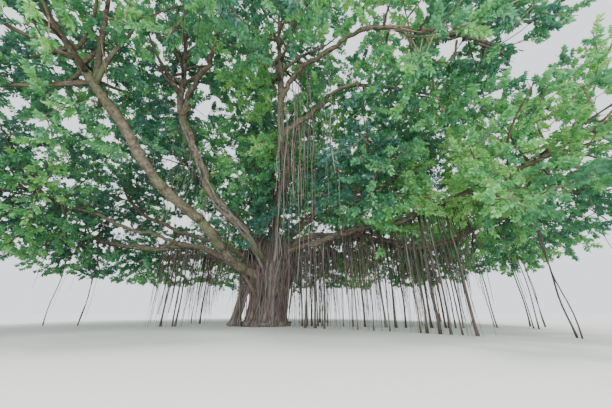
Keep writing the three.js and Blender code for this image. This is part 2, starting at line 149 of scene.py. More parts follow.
# tubes along paths of shape (count, rings, 3), with flat ends; reference is a side that no path runs along
def tubes(paths, radii, sides, relief=None, reference=None):
    paths = np.asarray(paths, float)
    count, rings = paths.shape[:2]
    tangent = unit(np.gradient(paths, axis=1))
    if reference is None:
        worst = np.abs(tangent).max(axis=1)
        reference = np.eye(3)[np.argmin(worst, axis=1)]
    reference = np.broadcast_to(np.asarray(reference, float).reshape(-1, 1, 3), tangent.shape)
    across = unit(np.cross(tangent, reference))
    other = np.cross(across, tangent)
    turn = circle(sides)[:, None]
    ring = np.cos(turn) * across[:, :, None] + np.sin(turn) * other[:, :, None]
    reachOut = np.asarray(radii, float)[:, :, None] * (1 if relief is None else relief)
    reachOut = np.broadcast_to(reachOut, (count, rings, sides))
    vertices = paths[:, :, None] + ring * reachOut[..., None]
    grid = np.arange(count * rings * sides).reshape(count, rings, sides)
    nextSide = np.roll(grid, -1, axis=2)
    quads = np.stack([grid[:, :-1], grid[:, 1:], nextSide[:, 1:], nextSide[:, :-1]], -1).reshape(-1, 4)
    ends = np.concatenate([grid[:, 0], grid[:, -1, ::-1]])
    return vertices.reshape(-1, 3), [quads, ends]


# slim three-sided cones along lines of shape (count, 2, 3)
def cones(lines, radius):
    starts, ends = lines[:, 0], lines[:, 1]
    along = unit(ends - starts)
    across = unit(np.cross(along, normal(0, 1, along.shape)))
    other = np.cross(across, along)
    turn = np.array([0, 2.094, 4.189])[:, None]
    ring = np.cos(turn) * across[:, None] + np.sin(turn) * other[:, None]
    vertices = np.concatenate([starts[:, None] + ring * radius, ends[:, None]], 1).reshape(-1, 3)
    base = np.arange(len(starts))[:, None, None] * 4
    faces = base + np.array([[0, 3, 1], [1, 3, 2], [2, 3, 0], [0, 1, 2]])
    return vertices, [faces.reshape(-1, 3)]


# several sets of tubes as one set of vertices and faces, with the material of each face
def joined(parts):
    vertices, groups, chosen, offset = [], [], [], 0
    for points, faces, *rest in parts:
        vertices.append(points)
        for group in faces:
            groups.append(group + offset)
            material = rest[0] if rest else 0
            chosen.append(np.resize(np.repeat(material, len(group) // np.size(material)), len(group)))
        offset += len(points)
    return np.concatenate(vertices), groups, np.concatenate(chosen)


# nothing stands below the flat ground
def onGround(vertices):
    return np.concatenate([vertices[:, :2], np.maximum(vertices[:, 2:], 0)], 1)


def place(obj, slot, node):
    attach(obj, "root")
    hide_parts(node)


# materials

# sets each input to a value, or links it to another node's output
def wire(node, inputs):
    for name, value in inputs.items():
        if isinstance(value, bpy.types.NodeSocket):
            node.id_data.links.new(value, node.inputs[name])
        else:
            node.inputs[name].default_value = value
    return node


def addNode(nodes, kind, inputs):
    return wire(nodes.new("ShaderNode" + kind), inputs)


def newMaterial(name):
    material = bpy.data.materials.new(name)
    material.use_nodes = True
    nodes = material.node_tree.nodes
    nodes.clear()
    shader = nodes.new("ShaderNodeBsdfPrincipled")
    output = addNode(nodes, "OutputMaterial", {"Surface": shader.outputs["BSDF"]})
    return material, nodes, shader, output


def noise(nodes, scale, detail, stretch=(1, 1, 1)):
    place = nodes.new("ShaderNodeTexCoord").outputs["Object"]
    mapping = addNode(nodes, "Mapping", {"Scale": stretch, "Vector": place})
    look = {"Scale": scale, "Detail": detail, "Roughness": 0.6, "Vector": mapping.outputs["Vector"]}
    return addNode(nodes, "TexNoise", look).outputs["Fac"]


def ramp(nodes, source, stops):
    node = addNode(nodes, "ValToRGB", {"Fac": source})
    elements = node.color_ramp.elements
    while len(elements) < len(stops):
        elements.new(0.5)
    for element, (spot, colour) in zip(elements, stops):
        element.position = spot
        element.color = (*colour, 1)
    return node.outputs["Color"]


# a factor brought from a range or to a range: side is From or To
def ranged(nodes, source, side, ends):
    inputs = {side + " Min": ends[0], side + " Max": ends[1], "Value": source}
    return addNode(nodes, "MapRange", inputs).outputs["Result"]


barks = {
    "trunkCore": {
        "colours": [(0.30, (0.030, 0.022, 0.018)), (0.55, (0.075, 0.055, 0.042)), (0.75, (0.13, 0.10, 0.075))],
        "moss": (0.06, 0.075, 0.035), "mossShare": (0.60, 0.78), "grain": 9, "stretch": (1, 1, 0.16), "bump": 0.8,
    },
    "redRoot": {
        "colours": [(0.30, (0.040, 0.029, 0.024)), (0.50, (0.108, 0.077, 0.064)), (0.72, (0.21, 0.16, 0.135))],
        "moss": (0.15, 0.13, 0.07), "mossShare": (0.62, 0.80), "grain": 12, "stretch": (1, 1, 0.15), "bump": 0.6,
    },
    "greyRoot": {
        "colours": [(0.30, (0.042, 0.038, 0.033)), (0.50, (0.110, 0.104, 0.090)), (0.72, (0.22, 0.215, 0.19))],
        "moss": (0.10, 0.13, 0.055), "mossShare": (0.56, 0.74), "grain": 12, "stretch": (1, 1, 0.15), "bump": 0.6,
    },
    "darkRoot": {
        "colours": [(0.30, (0.022, 0.018, 0.015)), (0.52, (0.058, 0.045, 0.038)), (0.75, (0.125, 0.10, 0.085))],
        "moss": (0.09, 0.10, 0.05), "mossShare": (0.64, 0.82), "grain": 14, "stretch": (1, 1, 0.2), "bump": 0.5,
    },
    "boughBark": {
        "colours": [
            (0.30, (0.030, 0.024, 0.017)), (0.46, (0.080, 0.063, 0.044)),
            (0.60, (0.135, 0.108, 0.076)), (0.78, (0.235, 0.20, 0.15)),
        ],
        "moss": (0.085, 0.115, 0.042), "mossShare": (0.50, 0.70), "grain": 9, "stretch": (1, 1, 1), "bump": 0.9,
    },
    "twigBark": {
        "colours": [(0.35, (0.085, 0.065, 0.040)), (0.65, (0.19, 0.155, 0.095))],
        "moss": (0.12, 0.17, 0.06), "mossShare": (0.55, 0.75), "grain": 10, "stretch": (1, 1, 1), "bump": 0.3,
    },
}
barkFinish = {"detail": 8, "mossSize": 1.3, "mossDetail": 5, "roughness": (0.95, 0.72), "bumpDistance": 0.03}


def barkMaterial(name):
    look = barks[name]
    material, nodes, shader, _ = newMaterial(name)
    grain = noise(nodes, look["grain"], barkFinish["detail"], look["stretch"])
    patches = noise(nodes, barkFinish["mossSize"], barkFinish["mossDetail"])
    mix = nodes.new("ShaderNodeMix")
    mix.data_type = "RGBA"
    moss = ranged(nodes, patches, "From", look["mossShare"])
    wire(mix, {0: moss, 6: ramp(nodes, grain, look["colours"]), 7: (*look["moss"], 1)})
    relief = {"Strength": look["bump"], "Distance": barkFinish["bumpDistance"], "Height": grain}
    wire(shader, {
        "Base Color": mix.outputs[2],
        "Roughness": ranged(nodes, grain, "To", barkFinish["roughness"]),
        "Normal": addNode(nodes, "Bump", relief).outputs["Normal"],
    })
    return material


# the six greens paint the light on the leaves: the bluish and deep ones are painted shade, the lime and brightest ones
# painted sunlit leaves
leafColours = {  # base colour, and how much light shines through
    "leafShadeBlue": ((0.060, 0.170, 0.135), 0.34),
    "leafShadeDeep": ((0.060, 0.190, 0.112), 0.36),
    "leafGreen": ((0.085, 0.260, 0.130), 0.40),
    "leafLitGreen": ((0.122, 0.340, 0.140), 0.42),
    "leafLime": ((0.180, 0.420, 0.145), 0.44),
    "leafSunlitBright": ((0.260, 0.490, 0.175), 0.46),
}
leafFinish = {"specular": 0.45, "waxSize": 30, "waxDetail": 2, "roughness": (0.34, 0.54), "warmth": 1.3}


def leafMaterial(name):
    (red, green, blue), glow = leafColours[name]
    material, nodes, shader, output = newMaterial(name)
    waxy = noise(nodes, leafFinish["waxSize"], leafFinish["waxDetail"])
    wire(shader, {
        "Base Color": (red, green, blue, 1), "Specular IOR Level": leafFinish["specular"],
        "Roughness": ranged(nodes, waxy, "To", leafFinish["roughness"]),
    })
    warm = leafFinish["warmth"]
    through = addNode(nodes, "BsdfTranslucent", {"Color": (red * warm, green * warm, blue, 1)})
    mix = addNode(nodes, "MixShader", {"Fac": glow, 1: shader.outputs["BSDF"], 2: through.outputs["BSDF"]})
    wire(output, {"Surface": mix.outputs["Shader"]})
    return material


bark = {name: barkMaterial(name) for name in barks}
leafMaterials = [leafMaterial(name) for name in leafColours]
print("materials ready")


# the crown and the spaces of its foliage masses

crown = {
    "reach": 13.7, "middleX": 1.0, "middleY": -0.2, "top": 13.7, "bottom": 2.35, "widest": 5.4, "roundness": 2.4,
}

masses = {  # heading, distance and height of the middle, half sizes outwards, across and upwards
    "front_left": (-121, 10.4, 8.4, 3.0, 3.9, 3.0),
    "left_front_low": (-151, 11.0, 5.3, 2.9, 3.7, 3.1),
    "left_low": (179, 11.2, 4.9, 2.7, 3.7, 2.7),
    "left_high": (174, 10.0, 8.0, 3.1, 4.4, 2.9),
    "back_left_low": (150, 10.9, 4.7, 2.8, 3.8, 2.7),
    "back_low_left": (119, 10.8, 5.7, 2.9, 3.9, 3.3),
    "back_low_right": (88, 10.8, 5.7, 2.9, 3.9, 3.4),
    "right_back_low": (57, 10.8, 5.5, 2.9, 3.9, 3.3),
    "right_low_back": (24, 11.7, 5.2, 2.9, 4.0, 3.4),
    "right_low": (-9, 12.1, 5.3, 2.8, 4.2, 3.6),
    "right_front_low": (-38, 12.1, 5.3, 3.0, 5.0, 4.0),
    "front_right_high": (-54, 10.9, 8.7, 3.3, 4.6, 3.4),
    "front_right_inner": (-46, 7.4, 5.3, 2.7, 2.9, 2.1),
    "front_high": (-90, 11.2, 8.4, 2.5, 3.6, 2.4),
    "upper_front_left": (-114, 7.5, 10.4, 3.5, 3.9, 2.9),
    "upper_front": (-82, 7.5, 10.4, 3.7, 3.9, 2.9),
    "upper_front_right": (-40, 8.5, 9.8, 3.8, 4.4, 2.9),
    "upper_right": (5, 7.7, 10.1, 3.9, 4.2, 2.9),
    "upper_back_right": (58, 6.9, 10.2, 3.7, 4.0, 3.0),
    "upper_back_left": (114, 6.9, 10.2, 3.7, 4.6, 3.0),
    "upper_left": (176, 6.4, 10.2, 3.9, 5.2, 3.0),
    "top": (-90, 0.5, 11.5, 4.6, 4.7, 2.6),
    "inner_front": (-75, 3.3, 7.0, 2.3, 3.0, 2.1),
}

twigLook = {
    "stemShare": 0.82, "branches": 20, "branchLength": 5.2, "skirt": 6, "sideEvery": 0.36, "sideLength": 1.7,
    "twigEvery": 0.165, "twigLength": 0.42, "apart": 0.50, "fill": 150, "bare": 0.72, "sprig": 0.95,
    "spread": 1.13, "wideSpread": 1.26, "limbRoom": 0.2, "topRoom": 0.16,
}
wideMasses = ["right_front_low", "front_right_high"]  # these two reach out into the photograph's top right corner

massNames = list(masses)
massMiddle = np.array([polar(*masses[name][:3]) for name in massNames])
massOut = np.array([direction(masses[name][0], 0) for name in massNames])
massAcross = np.array([direction(masses[name][0] + 90, 0) for name in massNames])
massHalf = np.array([masses[name][3:] for name in massNames])
massSize = np.cbrt(massHalf.prod(axis=1))
massSpread = np.array([twigLook["wideSpread" if name in wideMasses else "spread"] for name in massNames])


# whether points lie in the crown and in a mass's own share of it, with some room to spare
def insideSpace(index, points, room):
    x, y, z = np.moveaxis(points, -1, 0)
    outwards = np.hypot(x - crown["middleX"], y - crown["middleY"]) / (crown["reach"] - room)
    upwards = np.maximum(z - crown["widest"], 0) / (crown["top"] - crown["widest"] - room)
    power = crown["roundness"]
    inside = (z > crown["bottom"] + room) & (outwards**power + upwards**power < 1)
    away = points - massMiddle[index]
    half = massHalf[index] * massSpread[index] - room
    ways = (away @ massOut[index] / half[0], away @ massAcross[index] / half[1], away[..., 2] / half[2])
    inside &= sum(way**2 for way in ways) < 1
    for other, middle in enumerate(massMiddle):
        if other != index:
            link = middle - massMiddle[index]
            span = np.linalg.norm(link)
            share = massSize[index] / (massSize[index] + massSize[other])
            inside &= away @ (link / span) < span * share - room
    return inside


# how far straight twigs can run before they leave the space
def reachInside(index, starts, alongs, longest, room, step=0.1):
    distances = np.arange(step, longest + step, step)
    points = starts[:, None] + alongs[:, None] * distances[None, :, None]
    return np.cumprod(insideSpace(index, points, room), axis=1).sum(axis=1) * step


# the trunk's outline

trunk = {
    "top": 4.7, "waist": 0.82, "flare": 0.23, "flareHeight": 0.26, "shoulder": 0.47, "shoulderHeight": 3.5,
    "shoulderSpread": 1.5, "depthShare": 0.86, "lean": 0.26,
}


def trunkRadius(height):
    flare = trunk["flare"] * np.exp(-height / trunk["flareHeight"])
    rise = (height - trunk["shoulderHeight"]) / trunk["shoulderSpread"]
    return trunk["waist"] + flare + trunk["shoulder"] * np.exp(-rise * rise)


# boughs

# the mass each bough feeds, what it grows from and where, its heading and pitch as it leaves and as
# it arrives, how strongly it holds them, and its two radii
boughRows = {
    "left_great": ("front_left", "trunk", 2.3, -130, 14, -138, 49, 0.26, 0.23, 0.155),
    "front_rising": ("upper_front_left", "trunk", 3.15, -100, 10, -92, 75, 0.29, 0.165, 0.125),
    "centre": ("upper_front", "trunk", 4.2, -66, 58, -104, 80, 0.5, 0.16, 0.112),
    "right_long": ("right_low", "trunk", 3.6, -2, 42, 2, 30, 0.46, 0.16, 0.1),
    "left_low": ("left_low", "trunk", 2.45, -172, 35, 164, 18, 0.48, 0.15, 0.085),
    "left_middle": ("left_high", "trunk", 2.9, 164, 42, 156, 42, 0.36, 0.15, 0.085),
    "left_hanging": ("back_left_low", "trunk", 2.4, 158, 26, 156, 6, 0.42, 0.14, 0.08),
    "right_front": ("right_front_low", "trunk", 3.5, -36, 12, -36, 20, 0.3, 0.14, 0.085),
    "back_left": ("back_low_left", "trunk", 2.9, 122, 24, 118, 6, 0.36, 0.16, 0.09),
    "back_right": ("back_low_right", "trunk", 3.3, 84, 26, 90, 6, 0.36, 0.16, 0.09),
    "right_back": ("right_back_low", "trunk", 2.8, 52, 24, 58, 6, 0.36, 0.16, 0.09),
    "right_rear": ("right_low_back", "trunk", 3.9, 26, 22, 27, 2, 0.36, 0.15, 0.085),
    "upper_right": ("upper_right", "trunk", 4.15, 0, 50, 8, 48, 0.36, 0.15, 0.09),
    "upper_back_right": ("upper_back_right", "trunk", 4.25, 56, 48, 60, 50, 0.36, 0.15, 0.09),
    "upper_back_left": ("upper_back_left", "trunk", 4.15, 110, 50, 108, 50, 0.36, 0.15, 0.09),
    "upper_left": ("upper_left", "trunk", 4.2, 170, 52, 170, 48, 0.36, 0.15, 0.09),
    "leader": ("top", "trunk", 4.45, 70, 78, -60, 84, 0.3, 0.16, 0.09),
    "inner_front": ("inner_front", "trunk", 4.35, -85, 40, -70, 34, 0.34, 0.105, 0.07),
    "rising_fork": ("front_high", "front_rising", 0.9, -60, 40, -78, -18, 0.36, 0.105, 0.07),
    "left_low_fork": ("left_front_low", "left_low", 0.36, -150, 6, -146, 14, 0.36, 0.095, 0.065),
    "centre_cross": ("front_right_high", "centre", 0.92, -69, 62, 2, -9, 0.21, 0.095, 0.07),
    "centre_side": ("upper_front_right", "centre", 0.77, 14, 37, 18, 5, 0.23, 0.11, 0.075),
    "right_front_fork": ("front_right_inner", "right_front", 0.42, -66, 14, -50, 12, 0.34, 0.09, 0.065),
}

boughLook = {
    "sides": 14, "ringEvery": 0.15, "relief": 0.12, "ridges": 7, "kink": 0.38, "collar": 0.45, "wander": 0.018,
    "tipInset": 0.62, "footInside": 0.5, "taper": 1.25,
}
clothed = {  # how many roots creep along a bough
    "left_great": 3, "front_rising": 9, "centre": 8, "right_long": 5, "right_front": 4, "left_low": 3, "leader": 5,
}
creepLook = {"rings": 44, "sides": 6, "thin": 0.022, "thick": 0.05, "twist": 1.8, "depth": 0.98, "sink": 0.35}


class BoughLine:
    def __init__(self, foot, leave, arrive, tip, seed):
        self.control = np.array([foot, foot + leave, tip - arrive, tip])
        self.side = unit(np.cross(tip - foot, up))
        self.wander = np.linalg.norm(tip - foot) * boughLook["wander"]
        self.seed = seed
        table = self.point(np.linspace(0, 1, 201))
        steps = np.linalg.norm(np.diff(table, axis=0), axis=1)
        self.lengths = np.concatenate([[0], np.cumsum(steps)])

    def point(self, t):
        t = np.atleast_1d(np.asarray(t, float))[:, None]
        a, b, c, d = self.control
        base = a * (1 - t) ** 3 + 3 * b * t * (1 - t) ** 2 + 3 * c * t**2 * (1 - t) + d * t**3
        ease = np.sin(math.pi * t)
        sway = np.sin(t * 11 + self.seed * 2.4) * self.wander * ease
        bob = np.cos(t * 14 + self.seed * 1.7) * self.wander * 0.6 * ease
        return base + sway * self.side + bob * up

    # the point at a share of the bough's length
    def at(self, share):
        t = np.interp(np.atleast_1d(share) * self.lengths[-1], self.lengths, np.linspace(0, 1, 201))
        return self.point(t)


boughs = {}
for seed, (name, row) in enumerate(boughRows.items()):
    mass, parent, at, leaveHeading, leavePitch, arriveHeading, arrivePitch, hold, thick, thin = row
    if parent == "trunk":
        foot = polar(leaveHeading, trunkRadius(at) * boughLook["footInside"], at)
    else:
        foot = boughs[parent]["line"].at(at)[0]
    arriving = direction(arriveHeading, arrivePitch)
    halfOut, _, halfUp = masses[mass][3:]
    inset = boughLook["tipInset"] * (halfOut + (halfUp - halfOut) * abs(arriving[2]))
    tip = massMiddle[massNames.index(mass)] - arriving * inset
    pull = np.linalg.norm(tip - foot) * hold
    line = BoughLine(foot, direction(leaveHeading, leavePitch) * pull, arriving * pull, tip, seed)
    boughs[name] = {
        "name": name, "mass": mass, "parent": parent, "line": line, "tip": tip, "thick": thick, "thin": thin,
        "along": unit(line.point(1.0)[0] - line.point(0.9999)[0]), "heading": leaveHeading, "at": at,
    }
feeding = {bough["mass"]: bough for bough in boughs.values()}  # each mass has a bough of its own


def boughRadius(bough, share):
    return bough["thin"] + (bough["thick"] - bough["thin"]) * (1 - np.asarray(share)) ** boughLook["taper"]


def underside(bough, share):
    return bough["line"].at(share)[0] - up * boughRadius(bough, share) * 0.7


def growBough(bough):
    line = bough["line"]
    rings = int(line.lengths[-1] / boughLook["ringEvery"])
    share = np.linspace(0, 1, rings)
    kink = boughLook["kink"] * bough["thick"] * np.sin(math.pi * share)[:, None]
    phases = uniform(0, fullTurn, (2, 3))
    path = line.at(share) + kink * np.sin(share[:, None] * 34 + phases[0])
    path += kink * 0.6 * np.sin(share[:, None] * 71 + phases[1])
    radius = boughRadius(bough, share) * (1 + boughLook["collar"] * np.exp(-share * 16))
    radius *= 1 + 0.05 * np.sin(share * 47 + phases[0, 0])
    relief = barkRelief(1, rings, boughLook["sides"], boughLook["relief"], boughLook["ridges"])
    parts = [tubes(path[None], radius[None], boughLook["sides"], relief)]
    if bough["name"] in clothed:
        parts.append((*creepingRoots(bough), 1))
    vertices, faces, chosen = joined(parts)
    obj = makeObject("bough." + bough["name"], vertices, faces, [bark["boughBark"], bark["greyRoot"]], chosen)
    place(obj, "bark", "bough_" + bough["name"])


# roots that creep along a bough and sink back into it
def creepingRoots(bough):
    rings, sides = creepLook["rings"], creepLook["sides"]
    paths, radii = [], []
    for _ in range(clothed[bough["name"]]):
        first = uniform(0.02, 0.3)
        share = np.linspace(first, uniform(first + 0.3, 0.98), rings)
        path = bough["line"].at(share)
        tangent = unit(np.gradient(path, axis=0))
        steep = abs(tangent[:, 2]).max() >= 0.95
        across = unit(np.cross(tangent, direction(bough["heading"] + 90, 0) if steep else up))
        other = np.cross(across, tangent)
        turn = uniform(0, fullTurn) + np.linspace(0, uniform(-creepLook["twist"], creepLook["twist"]), rings)
        turn += 0.25 * np.sin(share * 40 + uniform(0, 6))
        out = boughRadius(bough, share) * (creepLook["depth"] - creepLook["sink"] * np.linspace(-1, 1, rings) ** 8)
        paths.append(path + (np.cos(turn) * out)[:, None] * across + (np.sin(turn) * out)[:, None] * other)
        radii.append(uniform(creepLook["thin"], creepLook["thick"]) * (1 + 0.15 * np.sin(share * 60)))
    return tubes(np.array(paths), np.array(radii), sides, barkRelief(len(paths), rings, sides, 0.12, 4))


for bough in boughs.values():
    growBough(bough)
print("boughs grown:", len(boughs))


# trunk: a dark core, the roots fused over it, and loose ones round it

trunkLook = {  # each layer's strands: how many, thin and thick radius, how far out, how they wander, rings, sides
    "main": (38, 0.055, 0.130, 0.86, 0.98, 6, 36, 7),
    "fine": (130, 0.012, 0.042, 0.97, 1.10, 10, 24, 5),
    "coreShare": 0.80, "coreTop": 4.2, "coreDome": 0.55, "coreSides": 64,
}
looseLook = {
    "count": 54, "rings": 20, "sides": 5, "highest": (3.2, 4.5), "lowest": (0.4, 2.2), "out": (1.12, 1.75),
    "radius": (0.010, 0.042),
}
joiningLook = {"perBough": 4, "rings": 36, "sides": 6, "thick": (0.09, 0.15), "thin": (0.02, 0.07)}
rootShades = ["trunkCore", "redRoot", "greyRoot", "darkRoot"]
shadeShares = [0.0, 0.36, 0.36, 0.28]


# points round the trunk's leaning middle
def trunkPoints(turn, height, reach):
    x = trunk["lean"] * height / trunk["top"] + reach * np.cos(turn)
    y = reach * trunk["depthShare"] * np.sin(turn)
    return np.stack(np.broadcast_arrays(x, y, height), -1)


# pairs of a path and its radii as tubes, each in one of the shades by their shares
def strandTubes(strands, sides, depth, shares, reference=(1, 0.0001, 0)):
    paths, radii = map(np.array, zip(*strands))
    relief = barkRelief(len(paths), len(paths[0]), sides, depth, 3)
    vertices, faces = tubes(paths, radii, sides, relief, reference)
    return vertices, faces, rng.choice(len(shares), len(paths), p=shares)


def trunkCore():
    top, dome, sides = trunkLook["coreTop"], trunkLook["coreDome"], trunkLook["coreSides"]
    heights = np.concatenate([np.linspace(0, top, 34), top + dome * np.sin(np.linspace(0.1, 1.5, 8))])
    closing = np.where(heights > top, np.sqrt(np.maximum(1 - ((heights - top) / 0.56) ** 2, 0.02)), 1)
    turn = circle(sides)[None]
    drift = 0.5 * np.sin(heights * 1.3)[:, None]
    flute = 0.08 * np.abs(np.sin(turn * 6.5 + drift)) + 0.05 * np.sin(turn * 5 + heights[:, None] * 0.8)
    radius = (trunkRadius(heights) * closing)[:, None] * (trunkLook["coreShare"] + flute)
    vertices = trunkPoints(turn, heights[:, None], radius)
    grid = np.arange(vertices.shape[0] * sides).reshape(-1, sides)
    nextSide = np.roll(grid, -1, axis=1)
    quads = np.stack([grid[:-1], nextSide[:-1], nextSide[1:], grid[1:]], -1).reshape(-1, 4)
    return vertices.reshape(-1, 3), [quads, grid[:1, ::-1], grid[-1:]]


def fusedStrands(layer):
    count, thin, thick, inner, outer, wander, rings, sides = trunkLook[layer]
    strands = []
    for index in range(count):
        heading = index * 360 / count + uniform(-5, 5)
        topHeight = uniform(2.2, 4.8)
        height = np.linspace(0, topHeight, rings)
        share = height / topHeight
        sway = wander * np.sin(height * uniform(0.7, 1.8) + uniform(0, 6))
        sway += wander * 0.4 * np.sin(height * 4 + uniform(0, 6))
        sway += uniform(-12, 12) * share
        out = uniform(inner, outer) + uniform(0.04, 0.16) * np.exp(-height / 0.3)
        out -= 0.16 * smoothstep(0.85, 1, share)
        path = trunkPoints(np.radians(heading + sway), height, trunkRadius(height) * out)
        radius = uniform(thin, thick) * (1 + 0.8 * np.exp(-height / 0.16))
        strands.append((path, radius * (1 + 0.16 * np.sin(height * 4 + index)) * (1 - 0.4 * share**4)))
    return strandTubes(strands, sides, 0.13, shadeShares)


# strands that hang free of the trunk from the boughs' feet, some rooted and some not
def looseStrands():
    share = np.linspace(0, 1, looseLook["rings"])
    strands = []
    for _ in range(looseLook["count"]):
        heading = uniform(0, 360)
        topHeight = uniform(*looseLook["highest"])
        endHeight = rng.choice([0, 0, 0, uniform(*looseLook["lowest"])])
        height = endHeight + (topHeight - endHeight) * share
        out = uniform(*looseLook["out"]) + (0.9 - 1.12) * smoothstep(0.8, 1, share)
        turn = heading + 3 * np.sin(share * uniform(3, 9) + uniform(0, 6)) + uniform(-8, 8) * share
        turn = np.radians(turn)
        reach = (trunk["waist"] + 0.25 * share) * out
        path = np.stack([reach * np.cos(turn), reach * 0.9 * np.sin(turn), height], -1)
        radius = uniform(*looseLook["radius"]) * (0.8 + 0.3 * share)
        strands.append((path, radius * (1 + 0.5 * np.exp(-height / 0.12))))
    return strandTubes(strands, looseLook["sides"], 0.12, shadeShares)


# roots that come down a bough's underside and join the bundle
def joiningStrands():
    share = np.linspace(0, 1, joiningLook["rings"])
    strands, references = [], []
    for bough in boughs.values():
        if bough["parent"] != "trunk":
            continue
        for index in range(joiningLook["perBough"]):
            along = np.linspace(0.1, uniform(0.14, 0.32), 5)
            line = bough["line"].at(along)
            tangent = unit(np.gradient(line, axis=0))
            across = unit(np.cross(tangent, up))
            below = np.cross(tangent, across)
            below = below * np.where(below[:, 2:] > 0, -1, 1)
            turn = uniform(-1.2, 1.2)
            outwards = below * math.cos(turn) + across * math.sin(turn)
            upper = line + outwards * boughRadius(bough, along)[:, None]
            join = bough["at"] - uniform(0.5, 1.1)
            heading = bough["heading"] + uniform(-16, 16)
            heights = np.array([0, 0.25, join * 0.45, join * 0.8, join])
            reach = trunkRadius(heights) * np.array([1.18, 1.08, 1.03, 1.03, 1.04])
            foot = trunkPoints(np.radians(heading + uniform(-5, 5, 5)), heights, reach)
            radius = uniform(*joiningLook["thick" if index == 0 else "thin"])
            radius = radius * (1 + 0.6 * np.exp(-share * 18)) * (1 - 0.5 * share)
            strands.append((pathThrough(np.vstack([foot, upper]), len(share)), radius))
            references.append(direction(bough["heading"] + 90, 0))
    return strandTubes(strands, joiningLook["sides"], 0.11, shadeShares, references)


leg = {
    "heading": 184, "footDistance": 1.56, "topDistance": 0.9, "topHeight": 2.7, "radius": 0.26, "strands": 12,
    "rings": 26, "sides": 7,
}


# the steps of a strand that winds round a path
def winding(turn, apart):
    return np.stack([np.cos(turn) * apart, np.sin(turn) * apart, 0 * turn], -1)


def legStrands():
    share = np.linspace(0, 1, leg["rings"])
    turned = math.radians(leg["heading"])
    distance = leg["footDistance"] + (leg["topDistance"] - leg["footDistance"]) * share
    centre = np.stack([distance * math.cos(turned), distance * math.sin(turned), leg["topHeight"] * share], -1)
    strands = []
    for index in range(leg["strands"]):
        turn = index * goldenAngle + 0.3 * np.sin(share * 6 + index)
        apart = leg["radius"] * (0.62 + 0.4 * np.exp(-share * 9)) * (0.35 if index < 2 else 1)
        radius = leg["radius"] * uniform(0.18, 0.42) * (1 + 0.5 * np.exp(-share * 22))
        strands.append((centre + winding(turn, apart), radius))
    return strandTubes(strands, leg["sides"], 0.12, shadeShares)


def growTrunk():
    layers = [fusedStrands("main"), fusedStrands("fine"), looseStrands(), joiningStrands(), legStrands()]
    vertices, faces, chosen = joined([(*trunkCore(), 0), *layers])
    obj = makeObject("trunk", onGround(vertices), faces, [bark[name] for name in rootShades], chosen)
    place(obj, "bark", "trunk")


growTrunk()
print("trunk grown")


# foliage

leafLook = {"length": 0.2, "width": 0.112, "fold": 0.16, "droop": 0.14}
leafSizes = {  # on each twig: simple leaves along it, full ones at its end, and their scale
    "usual": (12, 3, 1.0),
    "finer": (18, 4, 0.81),
    "finest": (26, 4, 0.70),
}
finerMasses = [  # low and forward masses, which are seen from close by
    "front_left", "left_front_low", "left_low", "left_high", "right_low", "right_front_low", "front_right_high",
    "front_right_inner", "front_high", "upper_front_left", "upper_front", "upper_front_right", "inner_front",
]
forks = {  # heavy forks inside a mass: the share of its stem they leave at, heading, pitch and radius
    "front_left": (0.08, -66, 61, 0.115),
    "upper_front_left": (0.02, -150, 58, 0.10),
}
sprigs = {  # leafy shoots straight from a bough: the share of it they start at, and how many
    "right_front": (0.42, 22), "right_long": (0.5, 12), "left_low": (0.5, 8), "left_middle": (0.5, 8),
    "left_hanging": (0.6, 7), "left_great": (0.7, 5), "front_rising": (0.12, 21), "centre": (0.03, 38),
    "upper_right": (0.35, 12), "back_left": (0.55, 9), "back_right": (0.55, 9), "right_back": (0.55, 9),
    "right_rear": (0.5, 9), "inner_front": (0.02, 26), "upper_left": (0.5, 6), "leader": (0.0, 14),
}

# the photograph's viewpoint, and places in it as pixels of its 612 by 408
photoView = {"place": (2.07, -14.0, 0.64), "pitch": 23.4, "focal": 250, "centre": (306, 204)}
skyGaps = [  # gaps to the sky: across, down and size
    (535, 56, 10), (517, 38, 4), (604, 105, 9), (289, 87, 8), (203, 110, 6), (170, 162, 5), (446, 50, 4), (331, 44, 4),
]
openLimbs = {  # limbs that show in front of the foliage, from which share on
    "left_great": 0.1, "front_rising": 0.4, "centre": 0.4, "centre_cross": 0.0, "centre_side": 0.0, "right_long": 0.3,
    "left_low": 0.2, "left_middle": 0.2, "left_hanging": 0.2,
}
openStems = {"front_left": 0.8, "upper_front_left": 0.8, "upper_front": 0.8, "front_right_high": 0.85}  # up to which
openMargin = {"gap": 45, "limb": 4.0, "near": 20, "stray": 0.06}  # in pixels, two of them at a metre, and a share


# limbs that leaves keep clear of, as points and radii
limbShares = np.linspace(0, 0.97, 40)
limbPoints = np.concatenate([bough["line"].at(limbShares) for bough in boughs.values()])
limbRadii = np.concatenate([boughRadius(bough, limbShares) for bough in boughs.values()])


def clearOfLimbs(points):
    away = np.linalg.norm(points[:, None] - limbPoints[None], axis=2)
    return (away > limbRadii + twigLook["limbRoom"]).all(axis=1)


# where points stand in the photograph, across and down, and how far off
def framed(points):
    x, y, z = (points - np.array(photoView["place"])).T
    pitch = math.radians(photoView["pitch"])
    depth = np.maximum(y * math.cos(pitch) + z * math.sin(pitch), 0.1)
    rise = z * math.cos(pitch) - y * math.sin(pitch)
    across = photoView["centre"][0] + photoView["focal"] * x / depth
    return np.stack([across, photoView["centre"][1] - photoView["focal"] * rise / depth], 1), depth


def outsideGaps(points):
    spots = framed(points)[0]
    return np.all([np.hypot(spots[:, 0] - x, spots[:, 1] - y) > size for x, y, size in skyGaps], axis=0)


